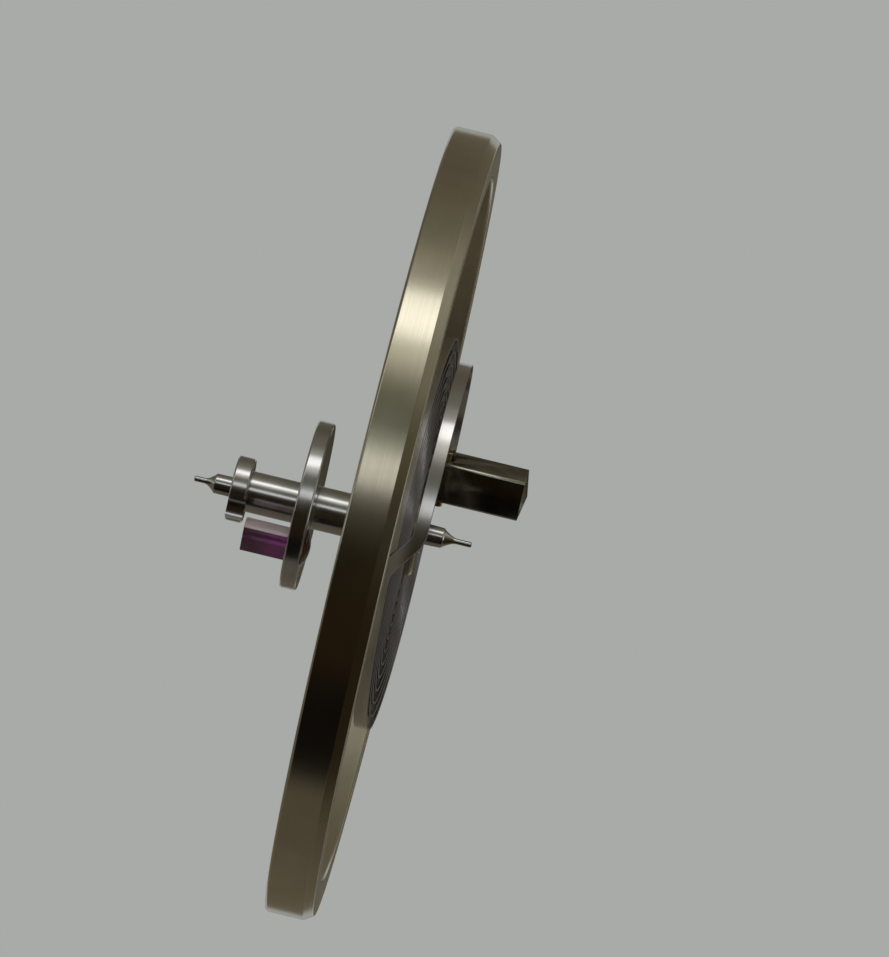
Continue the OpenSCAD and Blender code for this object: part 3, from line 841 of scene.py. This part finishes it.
def makeSpring(s):
    chordAt = collet["holeAt"] + stripOff
    holeEnd = math.sqrt(collet["radius"] ** 2 - collet["holeAt"] ** 2)
    innerTail = math.degrees(math.atan((holeEnd + s["tail"]) / chordAt))
    flatEnd = 360 * s["turns"]
    arcStart = flatEnd + s["kneeSweep"] + s["followSweep"]
    arcEnd = arcStart + arc["sweep"]
    sweep = innerTail + arcEnd + s["tailSweep"]
    inputs = {
        "Points": round(sweep / s["step"]) + 1, "Start": -innerTail, "Sweep": sweep,
        "Foot Angle": float(footAngle % 360), "First Radius": s["firstRadius"],
        "Outer Radius": s["outerRadius"], "Flat End": float(flatEnd),
        "Chord": chordAt, "Ease": s["ease"], "Straight Turn": float(s["straightTurn"]),
        "Flat Height": s["flatHeight"], "Raised Height": s["raisedHeight"],
        "Lean": s["lean"], "Lean Angle": math.radians(s["leanAngle"]),
        "Knee Sweep": float(s["kneeSweep"]), "Arc Start": float(arcStart),
        "Arc End": float(arcEnd), "Arc Radius": arc["radius"],
        "Arc Angle": math.radians(arc["followAngle"]),
        "Arc Centre": (*arc["centre"], s["raisedHeight"]),
        "Stud Place": (*arc["studIn"], s["raisedHeight"]),
        "Stud Run": (*arc["runWay"] * (stud["width"] + s["tail"]) / s["tailSweep"], 0.0),
        "Strip Height": pinned["stripHeight"], "Strip Thickness": pinned["strip"],
        "Corner": s["corner"],
    }
    g, size = geometryTree("hairspringStrip", inputs)

    # Place of each point by how far it has turned, in degrees, from the foot of the collet's chord
    step = size["Sweep"] / (size["Points"] - 1)
    turn = size["Start"] + g.add("GeometryNodeInputIndex") * step
    angle = (size["Foot Angle"] - turn) * degree
    pitch = (size["Outer Radius"] - size["First Radius"]) / size["Flat End"]
    coil = g.maths("MINIMUM", size["First Radius"] + turn * pitch, size["Outer Radius"])
    straight = g.maths("MINIMUM", turn, size["Straight Turn"]) * degree
    chord = size["Chord"] / straight.maths("COSINE")
    leaving = g.maths("SMOOTH_MIN", chord, coil, size["Ease"])
    away = turn > size["Straight Turn"]
    radius = coil * away + leaving * (1 - away)
    rise = g.ease((turn - size["Flat End"]) / size["Knee Sweep"], 0.0, 1.0)
    outwards = g.maths("MAXIMUM", (radius - size["First Radius"])
                       / (size["Outer Radius"] - size["First Radius"]), 0.0)
    lean = size["Lean"] * outwards * outwards * (angle - size["Lean Angle"]).maths("COSINE")
    low = size["Flat Height"] + lean
    height = low + rise * (size["Raised Height"] - low)
    onCoil = g.vector(radius * angle.maths("COSINE"), radius * angle.maths("SINE"), height)

    bend = size["Arc Angle"] - (turn - size["Arc Start"]) * degree
    arm = g.vector(bend.maths("COSINE") * size["Arc Radius"],
                   bend.maths("SINE") * size["Arc Radius"], 0.0)
    onArc = g.add("ShaderNodeVectorMath", {"operation": "ADD"}, {0: size["Arc Centre"], 1: arm})
    onRun = g.add("ShaderNodeVectorMath", {"operation": "MULTIPLY_ADD"}, {
        0: size["Stud Run"], 1: g.vector(*[turn - size["Arc End"]] * 3), 2: size["Stud Place"]})

    def chosen(test, no, yes):
        return g.add("GeometryNodeSwitch", {"input_type": "VECTOR"},
                     {"Switch": test, "False": no, "True": yes})

    place = chosen(turn > size["Arc Start"], onCoil,
                   chosen(turn > size["Arc End"], onArc, onRun))
    line = g.add("GeometryNodeMeshLine", values={"Count": size["Points"]})
    line = g.add("GeometryNodeSetPosition", values={0: line, "Position": place})
    line = g.add("GeometryNodeMeshToCurve", values={0: line})
    line = g.add("GeometryNodeSetCurveNormal", {"mode": "Z_UP"}, {0: line})
    length = g.add("GeometryNodeSplineParameter", output="Length")
    line = g.add("GeometryNodeStoreNamedAttribute", {"data_type": "FLOAT", "domain": "POINT"},
                 {0: line, "Name": "along", "Value": length})

    section = g.add("GeometryNodeCurvePrimitiveQuadrilateral", values={
        "Width": size["Strip Thickness"], "Height": size["Strip Height"]})
    section = g.add("GeometryNodeFilletCurve", {"mode": "POLY"}, {
        0: section, "Count": s["cornerSteps"], "Radius": size["Corner"]})
    strip = g.add("GeometryNodeCurveToMesh", values={
        "Curve": line, "Profile Curve": section, "Fill Caps": True})

    bare = linked(bpy.data.meshes.new("hairspringFine"), "hairspringFine")
    piece = grown(bare, g, inputs, strip, finishes["spring_alloy"])
    lengths = [0.0] * len(piece.data.vertices)
    piece.data.attributes["along"].data.foreach_get("value", lengths)
    piece.data.attributes.remove(piece.data.attributes["along"])
    bm = bmesh.new()
    bm.from_mesh(piece.data)
    facedOut(bm).to_mesh(piece.data)
    bm.free()
    handedOver(piece, None, finishes["spring_alloy"], sharp=12)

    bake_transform(piece)


makeSpring(spring)
print("hairspring is made")


# Stage, light and camera

view = {
    "middle": Vector((0, 0, 2.37)), "azimuth": -130.5, "elevation": 2.0, "roll": 103.6,
    "pixel": 0.0124, "at": (380, 523), "frame": (889, 957), "lens": 300, "sensor": 36,
    "clip": (0.001, 20),
}
floorSheet = {"radius": 6, "height": -0.35, "steps": 128, "tone": (0.7, 0.7, 0.69)}
light = {
    "background": (0.392, 0.406, 0.388), "plain": (0.86, 0.86, 0.85), "distance": 400,
    "key": {"angle": -61.5, "width": 105, "height": 420, "glow": 1.0},
    "fill": {"angle": -14, "width": 70, "height": 360, "glow": 0.6},
}
# Cards stand in a ring round the object for its metal to mirror. Their tones go by the angle
# from the camera's side, at the wheel's height and higher up. The ring is open behind, but for a
# narrow dark card that the wheel's flat sides mirror.
screen = {
    "outline": [(0.03, -0.34), (0.36, -0.32), (0.45, -0.2), (0.45, 0.3), (0.3, 0.52),
                (0.04, 0.66)],
    "cards": [(-160, 160), (172, 188)], "step": 2.7,
    "level": [
        (-180, (0.05, 0.042, 0.03)), (-160, (0.13, 0.11, 0.08)), (-125, (0.11, 0.095, 0.07)),
        (-90, (0.16, 0.15, 0.115)), (-76, (0.3, 0.29, 0.24)), (-50, (0.6, 0.59, 0.52)),
        (-37, (0.13, 0.13, 0.1)), (-28, (0.11, 0.115, 0.09)), (-20, (0.34, 0.36, 0.33)),
        (-10, (0.14, 0.135, 0.12)), (-2, (0.035, 0.032, 0.02)), (10, (0.016, 0.012, 0.006)),
        (38, (0.02, 0.012, 0.006)), (52, (0.006, 0.005, 0.004)), (76, (0.006, 0.005, 0.005)),
        (86, (0.1, 0.088, 0.066)), (160, (0.13, 0.11, 0.08)), (180, (0.05, 0.042, 0.03))],
    "raised": [
        (-180, (0.12, 0.11, 0.08)), (-130, (0.14, 0.13, 0.1)), (-90, (0.3, 0.29, 0.25)),
        (-70, (0.2, 0.19, 0.15)), (-40, (0.1, 0.09, 0.06)), (0, (0.035, 0.03, 0.018)),
        (40, (0.02, 0.012, 0.006)), (95, (0.02, 0.015, 0.008)), (120, (0.09, 0.08, 0.055)),
        (180, (0.12, 0.11, 0.08))],
    "top": (0.7, 0.7, 0.67), "raisedFrom": (0.35, 0.65), "topFrom": (1.27, 1.45),
}


def makeCamera(v):
    # Aims the camera so that the wheel's middle falls on its pixel of the frame, at the scale given
    # there, and rolls it about its own line of sight
    azimuth, elevation = math.radians(v["azimuth"]), math.radians(v["elevation"])
    back = Vector((math.cos(elevation) * math.cos(azimuth),
                   math.cos(elevation) * math.sin(azimuth), math.sin(elevation)))
    level = Vector((0, 0, 1)).cross(back).normalized()
    upright = back.cross(level)
    roll = math.radians(v["roll"])
    across = level * math.cos(roll) + upright * math.sin(roll)
    up = back.cross(across)
    perPixel = v["sensor"] / v["lens"] / max(v["frame"])
    right = (v["at"][0] - v["frame"][0] / 2) * perPixel
    down = (v["at"][1] - v["frame"][1] / 2) * perPixel
    aim = (back + across * right - up * down).normalized()
    across = up.cross(aim).normalized()
    up = aim.cross(across)
    data = bpy.data.cameras.new("camera")
    data.lens, data.sensor_width = v["lens"], v["sensor"]
    data.clip_start, data.clip_end = v["clip"]
    camera = bpy.data.objects.new("camera", data)
    bpy.context.scene.collection.objects.link(camera)
    away = v["pixel"] / perPixel
    turn = Matrix((across, up, aim)).transposed().to_4x4()
    camera.matrix_world = Matrix.Translation((v["middle"] + back * away) * mm) @ turn
    bpy.context.scene.camera = camera


def seenDirectly(g):
    # 1 for the rays that show the background: the camera's own, and those that metal or glass sends
    rays = g.add("ShaderNodeLightPath")
    glossy = g.maths("MAXIMUM", rays, rays.out("Is Glossy Ray"))
    return g.maths("MAXIMUM", glossy, rays.out("Is Transmission Ray"))


def makeFloor(f):
    bm = bmesh.new()
    bmesh.ops.create_circle(bm, cap_ends=True, segments=f["steps"], radius=f["radius"])
    mesh = bpy.data.meshes.new("floor")
    bm.to_mesh(mesh)
    bm.free()
    floor = linked(mesh, "floor")
    floor.location.z = f["height"]
    floor.data.materials.append(floorPaper(f))


def floorPaper(f):
    material = bpy.data.materials.new("floorPaper")
    material.use_nodes = True
    g = Graph(material.node_tree)
    shown = [tone / plain for tone, plain in zip(light["background"], light["plain"])]
    tone = g.mixColour(seenDirectly(g), rgb(*f["tone"]), rgb(*shown))
    paper = g.add("ShaderNodeBsdfDiffuse", values={"Color": tone})
    g.add("ShaderNodeOutputMaterial", values={0: paper})
    return material


def makeWorld():
    # The background is what the camera, metal and glass see, and plain soft light does the rest
    world = bpy.data.worlds.new("studio")
    bpy.context.scene.world = world
    world.use_nodes = True
    g = Graph(world.node_tree)
    colour = g.mixColour(seenDirectly(g), rgb(*light["plain"]), rgb(*light["background"]))
    made = g.add("ShaderNodeBackground", values={"Color": colour})
    g.add("ShaderNodeOutputWorld", values={0: made})


def makeScreen(s):
    bm = bmesh.new()
    for start, end in s["cards"]:
        count = round((end - start) / s["step"])
        angles = [math.radians(view["azimuth"] + start + (end - start) * k / count)
                  for k in range(count + 1)]
        rows = [[bm.verts.new((radius * math.cos(a), radius * math.sin(a), height))
                 for a in angles] for radius, height in s["outline"]]
        for low, high in zip(rows, rows[1:]):
            for k in range(count):
                bm.faces.new([low[k], low[k + 1], high[k + 1], high[k]])
    mesh = bpy.data.meshes.new("screen")
    bm.to_mesh(mesh)
    bm.free()
    ring = linked(mesh, "screen")
    ring.data.materials.append(screenCard(s))
    ring.visible_camera = ring.visible_diffuse = ring.visible_shadow = False


def screenCard(s):
    material = bpy.data.materials.new("screenCard")
    material.use_nodes = True
    g = Graph(material.node_tree)
    x, y, z = g.split(g.add("ShaderNodeTexCoord", output="Object"))
    facing = math.radians(view["azimuth"])
    front = x * math.cos(facing) + y * math.sin(facing)
    side = y * math.cos(facing) - x * math.sin(facing)
    around = g.maths("ARCTAN2", side, front) / math.tau + 0.5
    rise = g.maths("ARCTAN2", z, (x * x + y * y).maths("SQRT"))

    def tones(row):
        stops = [(angle / 360 + 0.5, colour) for angle, colour in row]
        return g.add("ShaderNodeValToRGB", {"stops": stops}, {0: around})

    tone = g.mixColour(g.ease(rise, *s["raisedFrom"]), tones(s["level"]), tones(s["raised"]))
    tone = g.mixColour(g.ease(rise, *s["topFrom"]), tone, rgb(*s["top"]))
    glow = g.add("ShaderNodeEmission", values={"Color": tone})
    g.add("ShaderNodeOutputMaterial", values={0: glow})
    return material


def makeLamp(name, angle, width, height, glow):
    # Softbox that stands round the staff at an angle from the camera's side
    data = bpy.data.lights.new(name, "AREA")
    data.shape, data.size, data.size_y = "RECTANGLE", width * mm, height * mm
    data.energy = glow * math.pi * data.size * data.size_y
    lamp = bpy.data.objects.new(name, data)
    bpy.context.scene.collection.objects.link(lamp)
    facing = math.radians(view["azimuth"] + angle)
    back = Vector((math.cos(facing), math.sin(facing), 0))
    across = Vector((0, 0, 1)).cross(back)
    turn = Matrix((across, Vector((0, 0, 1)), back)).transposed().to_4x4()
    lamp.matrix_world = Matrix.Translation(back * light["distance"] * mm) @ turn
    lamp.visible_camera = False


makeCamera(view)
makeFloor(floorSheet)
makeWorld()
makeScreen(screen)
makeLamp("keyLamp", **light["key"])
makeLamp("fillLamp", **light["fill"])
bpy.context.scene.view_settings.view_transform = "Standard"
print("stage, light and camera are set")
